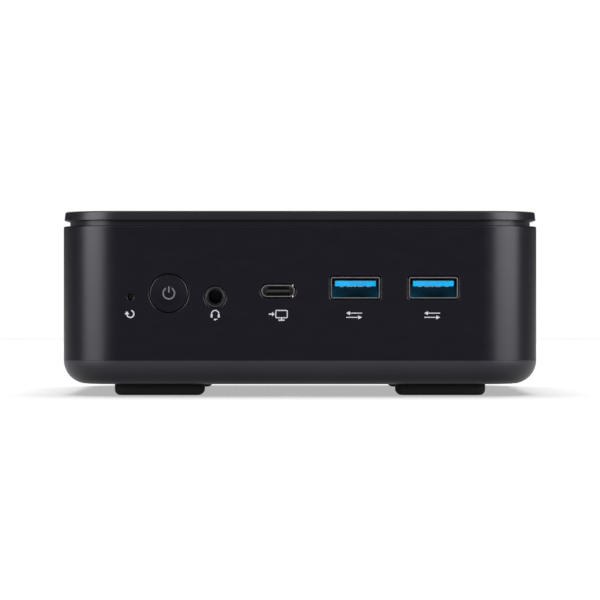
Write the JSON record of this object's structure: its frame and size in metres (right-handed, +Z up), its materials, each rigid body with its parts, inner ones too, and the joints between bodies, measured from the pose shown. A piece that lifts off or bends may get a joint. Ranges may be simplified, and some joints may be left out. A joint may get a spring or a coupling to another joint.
{
  "type": "mini computer",
  "caption": "Compact desktop computer in a rounded square case with front ports, sprung power button, blower cooling and rubber feet.",
  "frame": {"origin": "middle of the footprint at the underside of the feet", "axes": "+X to the right seen from the front, -Y out of the front face with the power button, +Z up"},
  "size_m": [0.1274, 0.118, 0.0492],
  "materials": {
    "lid_plastic": "fine matt texture",
    "case_plastic": "fine matt texture",
    "base_plastic": "fine matt texture",
    "foot_rubber": "matt",
    "black_screw": "black zinc",
    "insert_brass": "machined",
    "rear_sheet": "satin black",
    "button_plastic": "satin",
    "symbol_light": "translucent grey",
    "black_plastic": "moulded",
    "switch_plastic": "moulded",
    "shell_steel": "tin-plated sheet",
    "nickel_ring": "nickel plated",
    "fast_port_blue": "moulded",
    "contact_gold": "gold plated",
    "board_laminate": "solder mask",
    "silicon": "polished die on laminate",
    "choke_ferrite": "pressed ferrite",
    "cell_steel": "stamped",
    "copper": "bare copper",
    "fin_aluminium": "stamped sheet",
    "zinc_screw": "zinc plated",
    "tray_steel": "zinc-plated sheet",
    "drive_case": "bead blasted",
    "cable_film": "polyimide film",
    "aerial_film": "printed film",
    "lead_jacket": "fluoropolymer jacket"
  },
  "bodies": {
    "case": {"top_cover": "lid_plastic", "main_housing": "case_plastic", "base_cover": "base_plastic", "foot_front_left": "foot_rubber", "foot_front_right": "foot_rubber", "foot_rear_left": "foot_rubber", "foot_rear_right": "foot_rubber", "base_screws": "black_screw", "mount_inserts": "insert_brass", "rear_io_plate": "rear_sheet", "power_switch": "shell_steel", "reset_switch": "black_plastic", "audio_jack": "black_plastic", "audio_ring": "nickel_ring", "usb_c_shell": "shell_steel", "usb_c_tongue": "black_plastic", "usb_a_left_shell": "shell_steel", "usb_a_right_shell": "shell_steel", "usb_a_left_tongue": "fast_port_blue", "usb_a_right_tongue": "fast_port_blue", "usb_a_contacts": "contact_gold", "dc_jack": "black_plastic", "dc_pin": "cell_steel", "hdmi_shell": "shell_steel", "display_shell": "shell_steel", "video_tongues": "black_plastic", "ethernet_shell": "shell_steel", "ethernet_contacts": "contact_gold", "usb_stack_shell": "shell_steel", "usb_stack_tongues": "black_plastic", "mainboard": "board_laminate", "board_screws": "zinc_screw", "cpu_package": "silicon", "power_chokes": "choke_ferrite", "coin_holder": "black_plastic", "coin_cell": "cell_steel", "cold_plate": "copper", "cooler_screws": "zinc_screw", "heat_pipes": "copper", "fin_stack": "fin_aluminium", "blower_housing": "black_plastic", "blower_cover": "tray_steel", "blower_motor": "black_plastic", "sodimm_sockets": "black_plastic", "memory_modules": "board_laminate", "sodimm_latches": "tray_steel", "ssd_module": "board_laminate", "wifi_card": "board_laminate", "m2_sockets": "black_plastic", "m2_screws": "zinc_screw", "sata_drive": "drive_case", "drive_tray": "tray_steel", "drive_cable": "cable_film", "antennas": "aerial_film", "antenna_leads": "lead_jacket"},
    "power_button": {"power_button": "button_plastic", "power_symbol": "symbol_light", "power_switch_plunger": "switch_plastic"},
    "reset_button": {"reset_plunger": "switch_plastic"},
    "blower_rotor": {"blower_impeller": "black_plastic"}
  },
  "joints": [
    {"name": "power_press", "type": "slide", "parent": "case", "child": "power_button", "axis": [0, 1, 0], "range_m": [0, 0.0006], "stiffness_N_per_m": 1500, "springref_m": -0.0006},
    {"name": "reset_press", "type": "slide", "parent": "case", "child": "reset_button", "axis": [0, 1, 0], "range_m": [0, 0.00025], "stiffness_N_per_m": 2000, "springref_m": -0.0005},
    {"name": "blower_spin", "type": "hinge", "parent": "case", "child": "blower_rotor", "pos_m": [0.016, -0.0185, 0.0318], "axis": [0, 0, 1], "continuous": true}
  ]
}
